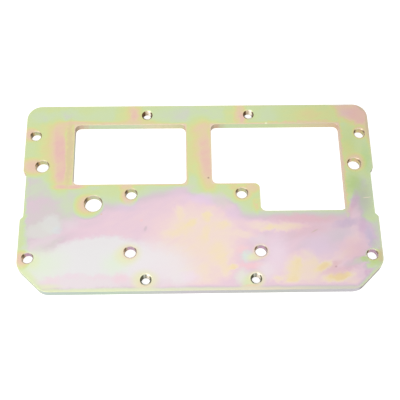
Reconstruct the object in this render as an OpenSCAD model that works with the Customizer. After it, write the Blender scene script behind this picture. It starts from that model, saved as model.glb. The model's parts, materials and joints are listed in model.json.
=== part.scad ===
// Barrier plate: a flat steel plate with two windows, tapped holes at the long edges and
// plain holes around them. It lies flat on its underside, with the origin under its middle,
// +X along the long side, +Y towards the long edge beside the windows, and +Z up.

/* [Plate] */
// Width of the plate, along its long side
plate_w = 208; // [196:1:240]
// Height of the plate, from its lower to its upper long edge
plate_h = 121.5; // [114:0.5:140]
// Thickness of the plate
plate_t = 5; // [3:0.5:10]
// Radius of the two upper corners
upper_corner_r = 9; // [2:0.5:12]

/* [Lower corners] */
// Length that each cut lower corner takes off the side and off the lower edge
lower_cut = 15.25; // [10:0.25:18]
// Radius where a lower corner's cut meets the edges
lower_cut_r = 9; // [1:0.5:10]

/* [Side recesses] */
// Depth of the shallow recess in each side
recess_depth = 1.9; // [1:0.1:3]
// Length of a recess along its floor
recess_floor = 28; // [16:1:30]
// Angle between a recess's sloped end and its floor's line
recess_slope = 45; // [30:1:60]
// Radius at the corners of a recess
recess_r = 1.5; // [0.5:0.1:2]

/* [Windows] */
// Width of the strip between the windows and the upper edge
top_strip = 13.5; // [11:0.5:16]
// Width of the column left of the left window
left_column = 29.5; // [26:0.5:34]
// Width of the bar between the windows
centre_bar = 15.25; // [8:0.25:20]
// Width of the column right of the right window
right_column = 18.25; // [15:0.25:24]
// Width of the left window
left_window_w = 67; // [58:0.5:72]
// Height of the left window, and of the right window's shallow part
window_h = 40.75; // [34:0.25:44]
// Width of the ledge that fills the right window's lower left corner
ledge_w = 28; // [24:0.25:40]
// Height of the ledge
ledge_h = 18.25; // [14:0.25:20]
// Radius of the windows' corners
window_r = 3.25; // [1:0.25:4]

/* [Tapped holes] */
// Drilled diameter of the four tapped holes, at the crests of their thread
tapped_hole_d = 5; // [3:0.1:6]
// Diameter of the countersunk mouth of a tapped hole
tapped_mouth_d = 7.2; // [6.4:0.1:8]
// Angle between the two sides of that countersink
tapped_mouth_angle = 120; // [90:5:120]
// Distance between two tapped holes along a long edge
tapped_span = 62; // [50:1:70]
// Distance from a tapped hole's centre to its long edge
tapped_inset = 6.75; // [5:0.25:7]

/* [Side holes] */
// Diameter of the four side holes
side_hole_d = 6; // [4:0.1:7]
// Distance from a side hole's centre to its side of the plate
side_hole_inset = 6; // [5.5:0.25:7]
// Distance from a side hole's centre to the nearer long edge
side_hole_drop = 20.75; // [19:0.25:22]
// Diameter of the two locating holes
locating_hole_d = 7.5; // [5:0.1:8]
// Distance from a locating hole's centre to its side of the plate
locating_hole_inset = 11; // [8:0.25:12]
// Height of the locating holes above the plate's middle line
locating_hole_y = 19; // [17:0.5:24]

/* [Inner holes] */
// Diameter of the four clearance holes in the wide lower part
clearance_hole_d = 6.6; // [4:0.1:8]
// Distance from the plate's left side to the left pair of clearance holes
left_pair_x = 64; // [56:0.5:70]
// Distance from the ledge's end to the clearance hole in it
ledge_hole_inset = 10.75; // [6:0.25:14]
// Distance from the windows' lower edge down to the upper clearance holes
upper_pair_drop = 6.5; // [5:0.25:8]
// Distance between the two lower clearance holes
lower_pair_span = 74.5; // [60:0.5:90]
// Distance from the lower edge up to the lower clearance holes
lower_pair_rise = 23.75; // [16:0.25:28]
// Diameter of the large hole
large_hole_d = 10; // [6:0.1:12]
// Distance from the plate's left side to the large hole
large_hole_x = 42; // [36:0.5:48]
// Distance from the windows' lower edge down to the large hole
large_hole_drop = 12.5; // [8:0.25:16]

/* [Edges] */
// Width of the small chamfer on the rims of the plain holes
rim_chamfer = 0.6; // [0.2:0.1:0.8]

/* [Hidden] */
// How far a cutting shape runs past the surface that it cuts
lap = 1;
// Where the edges lie, measured from the middle of the plate
right_edge = plate_w / 2;
left_edge = -right_edge;
upper_edge = plate_h / 2;
lower_edge = -upper_edge;
// Where the windows' edges lie
window_top = upper_edge - top_strip;
window_bottom = window_top - window_h;
left_window_x = left_edge + left_column;
right_window_x = left_window_x + left_window_w + centre_bar;
right_window_w = right_edge - right_column - right_window_x;
ledge_end = right_window_x + ledge_w;
// Depth of a recess's sloped end along the side of the plate
recess_run = recess_depth / tan(recess_slope);
// Inside angle of the plate where the cut of a lower corner meets an edge
cut_angle = 135;
// Centres of each group of holes
tapped_holes = [
    for (x = [-1, 1], y = [-1, 1]) [x * tapped_span / 2, y * (upper_edge - tapped_inset)]
];
side_holes = [
    for (x = [-1, 1], y = [-1, 1])
        [x * (right_edge - side_hole_inset), y * (upper_edge - side_hole_drop)]
];
locating_holes = [
    for (x = [-1, 1]) [x * (right_edge - locating_hole_inset), locating_hole_y]
];
clearance_holes = [
    [left_edge + left_pair_x, window_bottom - upper_pair_drop],
    [ledge_end - ledge_hole_inset, window_bottom - upper_pair_drop],
    [left_edge + left_pair_x, lower_edge + lower_pair_rise],
    [left_edge + left_pair_x + lower_pair_span, lower_edge + lower_pair_rise]
];
large_hole = [left_edge + large_hole_x, window_bottom - large_hole_drop];
$fn = 96;

// What an arc of radius r leaves of a corner: the corner lies at the origin, its first side
// runs along +X and its second side turns off by the corner's angle
module corner_waste(angle, r) {
    side = r / tan(angle / 2);
    centre = [side, r];
    spill = lap / tan(angle / 2);
    difference() {
        polygon([
            centre,
            side * [cos(angle), sin(angle)] + lap * [-sin(angle), cos(angle)],
            [-spill, -lap],
            [side, -lap]
        ]);
        translate(centre) circle(r);
    }
}

// A corner's waste, set at a point with its first side running along a heading
module corner_at(point, heading, angle, r) {
    translate(point) rotate(heading) corner_waste(angle, r);
}

// The recess in the right side, open outwards, with sloped ends and rounded floor corners
module side_recess() {
    floor_x = right_edge - recess_depth;
    half = recess_floor / 2;
    past = lap / tan(recess_slope);
    difference() {
        polygon([
            [floor_x, -half],
            [right_edge + lap, -half - recess_run - past],
            [right_edge + lap, half + recess_run + past],
            [floor_x, half]
        ]);
        corner_at([floor_x, -half], recess_slope - 90, 180 - recess_slope, recess_r);
        corner_at([floor_x, half], -90, 180 - recess_slope, recess_r);
    }
}

// All that comes off the right half of the blank: its upper corner, its recess and its cut
// lower corner, with the rounding where they meet the edges
module right_side_cuts() {
    mouth = recess_floor / 2 + recess_run;
    corner_at([right_edge, upper_edge], 180, 90, upper_corner_r);
    side_recess();
    corner_at([right_edge, mouth], 90, 180 - recess_slope, recess_r);
    corner_at([right_edge, -mouth], 90 + recess_slope, 180 - recess_slope, recess_r);
    polygon([
        [right_edge + lap, lower_edge + lower_cut + lap],
        [right_edge - lower_cut - lap, lower_edge - lap],
        [right_edge + lap, lower_edge - lap]
    ]);
    corner_at([right_edge, lower_edge + lower_cut], 90, cut_angle, lower_cut_r);
    corner_at([right_edge - lower_cut, lower_edge], cut_angle - 90, cut_angle, lower_cut_r);
}

// The plate's outline, the same on both sides of its middle
module outline() {
    difference() {
        square([plate_w, plate_h], center = true);
        for (side = [0, 1]) mirror([side, 0]) right_side_cuts();
    }
}

// A rectangle with round corners, its lower left corner at a point
module round_window(point, w, h) {
    translate(point) difference() {
        square([w, h]);
        corner_waste(90, window_r);
        corner_at([w, 0], 90, 90, window_r);
        corner_at([w, h], 180, 90, window_r);
        corner_at([0, h], 270, 90, window_r);
    }
}

// The left window
module left_window() {
    round_window([left_window_x, window_bottom], left_window_w, window_h);
}

// The right window: a shallow part over the ledge and a deep part beside it, with the
// ledge's corner rounded too
module right_window() {
    deep_w = right_window_w - ledge_w;
    round_window([right_window_x, window_bottom], right_window_w, window_h);
    round_window([ledge_end, window_bottom - ledge_h], deep_w, window_h + ledge_h);
    corner_at([ledge_end, window_bottom], 180, 90, window_r);
}

// A hole through the plate whose rims open from hole_d to mouth_d, as cones of mouth_angle
module hole(centre, hole_d, mouth_d, mouth_angle) {
    flare = tan(mouth_angle / 2);
    depth = (mouth_d - hole_d) / 2 / flare;
    outer_r = mouth_d / 2 + lap * flare;
    translate(centre) rotate_extrude() polygon([
        [0, -lap],
        [outer_r, -lap],
        [hole_d / 2, depth],
        [hole_d / 2, plate_t - depth],
        [outer_r, plate_t + lap],
        [0, plate_t + lap]
    ]);
}

// A plain hole with a small chamfer on both rims
module plain_hole(centre, hole_d) {
    hole(centre, hole_d, hole_d + 2 * rim_chamfer, 90);
}

// A tapped hole with its countersinks
module tapped_hole(centre) {
    hole(centre, tapped_hole_d, tapped_mouth_d, tapped_mouth_angle);
}

// The finished plate
module barrier_plate() {
    color([0.87, 0.83, 0.74]) difference() {
        linear_extrude(plate_t) difference() {
            outline();
            left_window();
            right_window();
        }
        for (centre = tapped_holes) tapped_hole(centre);
        for (centre = side_holes) plain_hole(centre, side_hole_d);
        for (centre = locating_holes) plain_hole(centre, locating_hole_d);
        for (centre = clearance_holes) plain_hole(centre, clearance_hole_d);
        plain_hole(large_hole, large_hole_d);
    }
}

barrier_plate();
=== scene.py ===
"""Barrier plate: a flat steel plate with two windows and a row of holes, zinc plated and
passivated, so that thin films of rose, straw and green run over a pale satin surface."""

import json
import math

import bpy
import numpy as np
from mathutils import Matrix, Vector
from mathutils.geometry import delaunay_2d_cdt


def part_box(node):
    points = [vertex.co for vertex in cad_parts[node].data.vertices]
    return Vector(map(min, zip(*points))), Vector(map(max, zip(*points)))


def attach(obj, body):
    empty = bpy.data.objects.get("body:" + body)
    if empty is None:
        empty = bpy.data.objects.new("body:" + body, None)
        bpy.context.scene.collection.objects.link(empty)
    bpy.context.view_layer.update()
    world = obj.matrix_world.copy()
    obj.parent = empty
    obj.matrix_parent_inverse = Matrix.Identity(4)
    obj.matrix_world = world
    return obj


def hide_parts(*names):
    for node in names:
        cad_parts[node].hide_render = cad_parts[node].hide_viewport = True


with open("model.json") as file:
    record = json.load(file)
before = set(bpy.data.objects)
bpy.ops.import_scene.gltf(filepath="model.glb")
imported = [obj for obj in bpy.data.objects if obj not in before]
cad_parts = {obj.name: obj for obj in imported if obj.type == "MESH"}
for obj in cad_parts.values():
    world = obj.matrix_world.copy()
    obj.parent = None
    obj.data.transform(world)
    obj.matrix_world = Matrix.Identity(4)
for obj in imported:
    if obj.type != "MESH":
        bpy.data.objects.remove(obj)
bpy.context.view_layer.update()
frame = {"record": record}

# Units: every size below is in millimetres, and MM turns it into metres
MM = 0.001

# The plate's box and its holes come from the frame
low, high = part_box("barrier_plate")
plate_t = (high.z - low.z) / MM
right_edge = high.x / MM
left_edge = low.x / MM
upper_edge = high.y / MM
lower_edge = low.y / MM

# Outline
upper_corner_r = 9
lower_cut = 15.25
lower_cut_r = 9
recess_depth = 1.9
recess_half_floor = 14
recess_r = 1.5

# Windows
top_strip = 13.5
left_column = 29.5
centre_bar = 15.25
right_column = 18.25
left_window_w = 67
window_h = 40.75
ledge_w = 28
ledge_h = 18.25
window_r = 3.25
window_top = upper_edge - top_strip
window_bottom = window_top - window_h
deep_bottom = window_bottom - ledge_h
left_window_x = left_edge + left_column
left_window_end = left_window_x + left_window_w
right_window_x = left_window_end + centre_bar
right_window_end = right_edge - right_column
ledge_end = right_window_x + ledge_w

# Edges and holes. The lip is the strip of the face that is made with each wall
edge_r = 0.22
rim_chamfer = 0.6
rim_r = 0.12
lip = 0.5
tapped_mouth_d = 7.2
tapped_mouth_angle = 120
thread_pitch = 1.0
thread_root_d = 6.0

# How finely the surfaces are divided
arc_steps = 12
rim_steps = 4
side_step = 2.0
hole_steps = 96
wall_rows = 8
thread_rows = 81
face_step = 6.0


def outline_corners():
    """The corners of the plate's outline and their radii, with the material on the left."""
    floor_x = right_edge - recess_depth
    mouth_y = recess_half_floor + recess_depth
    right_half = [
        (right_edge - lower_cut, lower_edge, lower_cut_r),
        (right_edge, lower_edge + lower_cut, lower_cut_r),
        (right_edge, -mouth_y, recess_r),
        (floor_x, -recess_half_floor, recess_r),
        (floor_x, recess_half_floor, recess_r),
        (right_edge, mouth_y, recess_r),
        (right_edge, upper_edge, upper_corner_r),
    ]
    left_half = [(-x, y, r) for x, y, r in reversed(right_half)]
    return right_half + left_half


def left_window_corners():
    """The left window's corners, clockwise, so that the material lies on the left."""
    return [
        (left_window_x, window_bottom, window_r),
        (left_window_x, window_top, window_r),
        (left_window_end, window_top, window_r),
        (left_window_end, window_bottom, window_r),
    ]


def right_window_corners():
    """The right window's corners, clockwise, round the ledge in its lower left part."""
    return [
        (right_window_x, window_bottom, window_r),
        (right_window_x, window_top, window_r),
        (right_window_end, window_top, window_r),
        (right_window_end, deep_bottom, window_r),
        (ledge_end, deep_bottom, window_r),
        (ledge_end, window_bottom, window_r),
    ]


def hole_list():
    """Centre and radius of every hole, by the name of its mount in the frame's record."""
    holes = []
    for mount in frame["record"]["mounts"]:
        dims = mount["dims"]
        centre_x = mount["pos_m"][0] / MM
        centre_y = mount["pos_m"][1] / MM
        if mount["kind"] == "bore":
            holes.append((mount["name"], centre_x, centre_y, dims["r_mm"]))
        if mount["kind"] == "bolt_pattern":
            across = dims["spacing_x_mm"] / 2
            along = dims.get("spacing_y_mm", 0) / 2
            for side in (-1, 1):
                for end in (-1, 1) if along else (0,):
                    x = centre_x + side * across
                    y = centre_y + end * along
                    holes.append((mount["name"], x, y, dims["hole_r_mm"]))
    return holes


# Surfaces

def rounded_path(corners, closed, step, turn_steps):
    """A path round the given corners (x, y, radius), with the material on its left.

    At a corner the heading turns evenly from the side before to the side after it, and the
    point lies one radius from the arc's centre, at right angles to the heading. Each side
    between two arcs is divided evenly. Gives the points and their normals, away from the
    material, as arrays of (count, 2)."""
    table = np.array(corners, float)
    corner = table[:, :2]
    ahead = np.roll(corner, -1, axis=0) - corner
    heading_out = np.arctan2(ahead[:, 1], ahead[:, 0])
    heading_in = np.roll(heading_out, 1)
    turn = (heading_out - heading_in + math.pi) % (2 * math.pi) - math.pi
    share = np.linspace(0, 1, turn_steps + 1)
    heading = heading_in[:, None] + turn[:, None] * share
    away = np.stack([np.sin(heading), -np.cos(heading)], -1)
    arrive = np.stack([np.cos(heading_in), np.sin(heading_in)], -1)
    signed_r = (np.sign(turn) * table[:, 2])[:, None]
    reach = np.abs(signed_r) * np.tan(np.abs(turn) / 2)[:, None]
    centre = corner - reach * arrive - signed_r * away[:, 0]
    arcs = centre[:, None] + signed_r[:, :, None] * away
    if not closed:
        arcs[0] = corner[0]
        arcs[-1] = corner[-1]
        away[0] = away[0, -1]
        away[-1] = away[-1, 0]
    points = []
    normals = []
    last = len(corner) - 1
    for k in range(len(corner)):
        ends = closed or 0 < k < last
        points.append(arcs[k] if ends else arcs[k, :1])
        normals.append(away[k] if ends else away[k, :1])
        if k == last and not closed:
            break
        start = arcs[k, -1]
        finish = arcs[(k + 1) % len(corner), 0]
        pieces = max(1, math.ceil(np.linalg.norm(finish - start) / step))
        between = np.linspace(0, 1, pieces + 1)[1:-1, None]
        points.append(start + between * (finish - start))
        normals.append(np.repeat(away[k, -1:], pieces - 1, axis=0))
    return np.concatenate(points), np.concatenate(normals)


def wall_profile(bevel, radius):
    """The section of a wall from the upper face to the lower one: columns are the distance
    out of the material and the height. Each rim has a bevel and small round corners."""
    flat = bevel + lip
    corners = [(-flat, plate_t, 0)]
    if bevel:
        corners.append((-bevel, plate_t, radius))
    corners.append((0, plate_t - bevel, radius))
    corners.append((0, bevel, radius))
    if bevel:
        corners.append((-bevel, 0, radius))
    corners.append((-flat, 0, 0))
    section, _ = rounded_path(corners, False, plate_t / wall_rows, rim_steps)
    return section


def carried_wall(points, normals, section):
    """A wall (rows, count, 3): each point of the section is moved out along the path's
    normal by its first number, and stands at the height of its second."""
    plan = points[None] + section[:, None, :1] * normals[None]
    height = np.broadcast_to(section[:, None, 1:], plan.shape[:2] + (1,))
    return np.concatenate([plan, height], -1)


def hole_angles():
    """Angles of the points round a hole, evenly apart and clockwise."""
    return -np.arange(hole_steps) * 2 * math.pi / hole_steps


def circle_path(x, y, radius):
    """Points evenly round a hole, clockwise, and their normals towards its axis."""
    angle = hole_angles()
    spoke = np.stack([np.cos(angle), np.sin(angle)], -1)
    return np.array([x, y]) + radius * spoke, -spoke


def tapped_wall(x, y, crest_r):
    """The wall of a tapped hole (rows, count, 3), a function of angle and height.

    The radius is that of a right-hand thread with 60-degree flanks: it grows from the crest
    to the root and back once in each pitch, and the place in the pitch is the height less the
    angle's share of a pitch. The countersunk mouths cut it away: there the radius is that
    of their cone, if that is larger."""
    root_r = thread_root_d / 2
    mouth_r = tapped_mouth_d / 2
    crest_flat = 0.2
    root_flat = 0.12
    angle = hole_angles()
    height = np.linspace(plate_t, 0, thread_rows)[:, None]
    place = (height / thread_pitch - angle / (2 * math.pi)) % 1
    rise = np.abs(place * 2 - 1)
    depth = np.clip((rise - crest_flat) / (1 - crest_flat - root_flat), 0, 1)
    thread_r = crest_r + (root_r - crest_r) * depth
    flare = math.tan(math.radians(tapped_mouth_angle / 2))
    cone_r = mouth_r - np.minimum(height, plate_t - height) * flare
    radius = np.maximum(thread_r, cone_r)
    outer = np.full((1, hole_steps), mouth_r + lip)
    radius = np.concatenate([outer, radius, outer])
    height = np.concatenate([height[:1], height, height[-1:]])
    wall_x = x + radius * np.cos(angle)
    wall_y = y + radius * np.sin(angle)
    return np.stack([wall_x, wall_y, np.broadcast_to(height, radius.shape)], -1)


def inside_material(places, rings):
    """True where a place (count, 2) lies in the face: a ray from it crosses the rings' sides
    an odd number of times."""
    crossings = np.zeros(len(places), int)
    for ring in rings:
        start = ring
        end = np.roll(ring, -1, axis=0)
        spans = (start[:, 1] > places[:, 1:]) != (end[:, 1] > places[:, 1:])
        rise = end[:, 1] - start[:, 1]
        slope = (end[:, 0] - start[:, 0]) / np.where(rise == 0, 1, rise)
        crossing_x = start[:, 0] + (places[:, 1:] - start[:, 1]) * slope
        crossings += (spans & (places[:, :1] < crossing_x)).sum(1)
    return crossings % 2 == 1


def face_points(rings):
    """Points of an even grid that lie in the face, well clear of its rings."""
    across = np.arange(left_edge, right_edge, face_step) + face_step / 2
    along = np.arange(lower_edge, upper_edge, face_step) + face_step / 2
    grid = np.stack(np.meshgrid(across, along), -1).reshape(-1, 2)
    grid = grid[inside_material(grid, rings)]
    border = np.concatenate(rings)
    gap = np.linalg.norm(grid[:, None] - border[None], axis=2).min(1)
    return grid[gap > face_step / 3]


def fill_face(rings):
    """Triangles (count, 3) of a flat face between rings of points, by the Delaunay rule with
    every ring's sides kept, and the extra points that it uses inside the face."""
    inside_border = 1
    merge_gap = 1e-7
    extra = face_points(rings)
    flat = np.concatenate(rings + [extra])
    sides = []
    first = 0
    for ring in rings:
        index = first + np.arange(len(ring))
        sides.append(np.stack([index, np.roll(index, -1)], -1))
        first += len(ring)
    sides = np.concatenate(sides)
    places = list(map(Vector, flat.tolist()))
    made = delaunay_2d_cdt(places, sides.tolist(), [], inside_border, merge_gap)
    origin = np.array([source[0] for source in made[3]])
    triangles = origin[np.array(made[2])]
    middle = flat[triangles].mean(1)
    return triangles[inside_material(middle, rings)], extra


def plate_surface():
    """Every wall of the plate with its two faces: points, four-sided faces of the walls,
    triangles of the faces, and for each point the way that its wall faces, in plan, with 1 on
    a plain hole's wall, 2 on a tapped one's and 0 elsewhere. A wall's first and last rows are
    rings of the faces."""
    section = wall_profile(0, edge_r)
    walls = []
    facings = []
    for corners in (outline_corners(), left_window_corners(), right_window_corners()):
        points, normals = rounded_path(corners, True, side_step, arc_steps)
        walls.append(carried_wall(points, normals, section))
        facings.append(np.column_stack([normals, np.zeros(len(points))]))
    rim_section = wall_profile(rim_chamfer, rim_r)
    for name, x, y, radius in hole_list():
        points, normals = circle_path(x, y, radius)
        kind = 2 if name == "tapped_holes" else 1
        if kind == 2:
            walls.append(tapped_wall(x, y, radius))
        else:
            walls.append(carried_wall(points, normals, rim_section))
        facings.append(np.column_stack([normals, np.full(len(points), kind)]))
    points = []
    quads = []
    sides = []
    upper_ring = []
    lower_ring = []
    first = 0
    for wall, facing in zip(walls, facings):
        rows, count = wall.shape[:2]
        index = first + np.arange(rows * count).reshape(rows, count)
        beside = np.roll(index, -1, axis=1)
        corners = [index[:-1], index[1:], beside[1:], beside[:-1]]
        quads.append(np.stack(corners, -1).reshape(-1, 4))
        points.append(wall.reshape(-1, 3))
        sides.append(np.tile(facing, (rows, 1)))
        upper_ring.append(index[0])
        lower_ring.append(index[-1])
        first += rows * count
    triangles, extra = fill_face([wall[0, :, :2] for wall in walls])
    for ring, height, order in ((upper_ring, plate_t, 1), (lower_ring, 0, -1)):
        added = first + np.arange(len(extra))
        lookup = np.concatenate(ring + [added])
        points.append(np.column_stack([extra, np.full(len(extra), height)]))
        sides.append(np.zeros((len(extra), 3)))
        quads.append(lookup[triangles][:, ::order])
        first += len(extra)
    return np.concatenate(points), quads, np.concatenate(sides)


def make_piece(name, points, face_groups, flat_groups):
    """A mesh object from points in millimetres. The faces of the last flat_groups groups are
    shaded flat and the others smooth."""
    mesh = bpy.data.meshes.new(name)
    faces = [face for group in face_groups for face in group.tolist()]
    mesh.from_pydata((points * MM).tolist(), [], faces)
    flat_count = sum(len(group) for group in face_groups[-flat_groups:])
    smooth = np.ones(len(faces), bool)
    smooth[-flat_count:] = False
    mesh.polygons.foreach_set("use_smooth", smooth)
    mesh.validate()
    mesh.update()
    piece = bpy.data.objects.new(name, mesh)
    bpy.context.scene.collection.objects.link(piece)
    return piece


# Node trees

class Tree:
    """Adds nodes to one node tree. An input may be a number, a colour or another's output."""

    def __init__(self, tree):
        self.tree = tree

    def link(self, output, socket):
        self.tree.links.new(output, socket)

    def add(self, kind, inputs=None, **settings):
        node = self.tree.nodes.new(kind)
        for key, value in settings.items():
            setattr(node, key, value)
        for key, value in (inputs or {}).items():
            if isinstance(value, bpy.types.NodeSocket):
                self.link(value, node.inputs[key])
            else:
                node.inputs[key].default_value = value
        return node

    def math(self, operation, a, b=0.0, c=0.0):
        return self.add("ShaderNodeMath", {0: a, 1: b, 2: c}, operation=operation).outputs[0]

    def vector(self, operation, a, b=(0, 0, 0), c=(0, 0, 0)):
        inputs = {0: a, 1: b, 2: c}
        node = self.add("ShaderNodeVectorMath", inputs, operation=operation)
        return node.outputs["Value" if operation in ("LENGTH", "DOT_PRODUCT") else "Vector"]

    def part(self, vector, axis):
        """One coordinate of a vector: its dot product with that axis."""
        return self.vector("DOT_PRODUCT", vector, np.eye(3)[axis].tolist())

    def turn(self, vector, angle):
        """The vector turned about Z."""
        inputs = {"Vector": vector, "Angle": angle}
        node = self.add("ShaderNodeVectorRotate", inputs, rotation_type="Z_AXIS")
        return node.outputs[0]

    def blend(self, share, a, b):
        """The number a where share is 0 and b where it is 1."""
        node = self.add("ShaderNodeMix", {0: share, 2: a, 3: b}, data_type="FLOAT")
        return node.outputs[0]

    def mix(self, share, a, b, way="MIX"):
        """The colour a where share is 0 and b laid on it where share is 1."""
        inputs = {0: share, 6: a, 7: b}
        node = self.add("ShaderNodeMix", inputs, data_type="RGBA", blend_type=way)
        return node.outputs[2]

    def ease(self, value, start, end, low_out=0.0, high_out=1.0):
        """Eases from low_out to high_out as value goes from start to end."""
        inputs = {0: value, 1: start, 2: end, 3: low_out, 4: high_out}
        node = self.add("ShaderNodeMapRange", inputs, interpolation_type="SMOOTHSTEP")
        return node.outputs[0]

    def centred(self, share, span):
        """A share from 0 to 1 as a number from minus half the span to plus half of it."""
        return self.math("MULTIPLY_ADD", share, span, -span / 2)

    def noise(self, place, scale, detail=3.0, output="Fac"):
        inputs = {"Vector": place, "Scale": scale, "Detail": detail, "Roughness": 0.55}
        return self.add("ShaderNodeTexNoise", inputs).outputs[output]

    def group(self, made, inputs):
        return self.add("ShaderNodeGroup", inputs, node_tree=made).outputs[0]


def fresh_tree(owner):
    """The emptied node tree of a material or a world."""
    owner.use_nodes = True
    owner.node_tree.nodes.clear()
    return Tree(owner.node_tree)


def new_group(name, inputs, output, output_kind="Float"):
    """An empty node group with named sockets. Gives its tree, its inputs and its one output."""
    group = bpy.data.node_groups.new(name, "ShaderNodeTree")
    for socket_name, kind in inputs.items():
        group.interface.new_socket(socket_name, in_out="INPUT", socket_type="NodeSocket" + kind)
    group.interface.new_socket(output, in_out="OUTPUT", socket_type="NodeSocket" + output_kind)
    tree = Tree(group)
    return tree, tree.add("NodeGroupInput").outputs, tree.add("NodeGroupOutput").inputs[0]


def paint(red, green, blue):
    """A colour written as it shows on screen, 0 to 255, in the linear form nodes take."""
    shown = np.array([red, green, blue]) / 255
    linear = np.where(shown <= 0.04045, shown / 12.92, ((shown + 0.055) / 1.055) ** 2.4)
    return (*linear.tolist(), 1.0)


def patch_group(name, is_strip):
    """A soft patch: 1 inside, easing to 0 over its soft border, times its strength. Its reach
    is the length of the offset as a share of its half size, for an oval, or for a strip the
    fourth root of the sum of the fourth powers."""
    tree, given, result = new_group(
        name,
        {"Place": "Vector", "Centre": "Vector", "Half size": "Vector", "Turn": "Float",
         "Softness": "Float", "Strength": "Float"},
        "Mask",
    )
    offset = tree.vector("SUBTRACT", given["Place"], given["Centre"])
    turned = tree.turn(offset, tree.math("MULTIPLY", given["Turn"], -math.pi / 180))
    scaled = tree.vector("DIVIDE", turned, given["Half size"])
    reach = tree.vector("LENGTH", scaled)
    if is_strip:
        squares = tree.vector("MULTIPLY", scaled, scaled)
        reach = tree.math("POWER", tree.vector("DOT_PRODUCT", squares, squares), 0.25)
    inner = tree.math("SUBTRACT", 1.0, given["Softness"])
    outer = tree.math("ADD", 1.0, given["Softness"])
    mask = tree.ease(reach, inner, outer, 1.0, 0.0)
    tree.link(tree.math("MULTIPLY", mask, given["Strength"]), result)
    return tree.tree


def edge_ring(tree, film, distance, at_edge, growth, softness):
    """Thins a film near an edge: at_edge thick there and growing with the distance, joined
    smoothly to the film there already."""
    level = tree.math("MULTIPLY_ADD", distance, growth, at_edge)
    return tree.math("SMOOTH_MIN", film, level, softness)


def halo_group():
    """The film's thickness in the rings round a hole: thinnest at the middle of an oval and
    growing with the third power of the reach to the oval's border."""
    tree, given, result = new_group(
        "hole_halo",
        {"Film": "Float", "Place": "Vector", "Centre": "Vector", "Half size": "Vector"},
        "Film",
    )
    offset = tree.vector("SUBTRACT", given["Place"], given["Centre"])
    scaled = tree.vector("DIVIDE", offset, given["Half size"])
    reach = tree.math("POWER", tree.vector("LENGTH", scaled), 3.0)
    tree.link(edge_ring(tree, given["Film"], reach, *halo_ring, ring_softness), result)
    return tree.tree


def window_group():
    """Distance from a window's edge: 0 in the window, growing outwards in the material."""
    tree, given, result = new_group(
        "window_distance",
        {"Place": "Vector", "Centre": "Vector", "Half size": "Vector"},
        "Distance",
    )
    offset = tree.vector("SUBTRACT", given["Place"], given["Centre"])
    beyond = tree.vector("SUBTRACT", tree.vector("ABSOLUTE", offset), given["Half size"])
    outside = tree.vector("MAXIMUM", beyond, (0, 0, 0))
    tree.link(tree.vector("LENGTH", outside), result)
    return tree.tree


# The rings round a hole: the film's thickness at their middle, and its growth to their border
halo_ring = (0.09, 0.51)
ring_softness = 0.12

soft_patch = patch_group("soft_patch", False)
soft_strip = patch_group("soft_strip", True)
hole_halo = halo_group()
window_distance = window_group()

# The film, by its thickness, from the thin rose at the holes to the thick straw
film_colours = [
    (0.00, paint(231, 188, 184)),
    (0.07, paint(232, 197, 180)),
    (0.14, paint(230, 207, 174)),
    (0.23, paint(224, 214, 158)),
    (0.32, paint(217, 221, 157)),
    (0.42, paint(209, 222, 164)),
    (0.52, paint(207, 222, 178)),
    (0.60, paint(207, 219, 186)),
    (0.68, paint(209, 214, 196)),
    (0.76, paint(213, 206, 203)),
    (0.86, paint(219, 200, 209)),
    (1.00, paint(232, 205, 217)),
    (1.12, paint(238, 211, 215)),
    (1.25, paint(241, 220, 209)),
    (1.40, paint(242, 224, 188)),
    (1.55, paint(239, 215, 168)),
]

# Height of the line where the film turns from green to lilac, at places along the plate
front_line = [
    (-104, 12), (-95, 9.5), (-91, 5.4), (-88.5, 0), (-82, -3), (-76, -4), (-66, -5),
    (-58, -5.5), (-50, -7), (-42, -7.5), (-34, -2), (-25, 1), (-15, 3), (-9, 4.5), (-4, 1),
    (3, -0.5), (10, -3), (16, -8), (22, -11.5), (28, -13.5), (33, -14), (40, -14), (83, -14),
    (86, -14), (89, -8), (91, -4), (92.5, -3), (94, -6), (96, -10), (99, -20), (101, -24),
    (104, -26),
]

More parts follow.
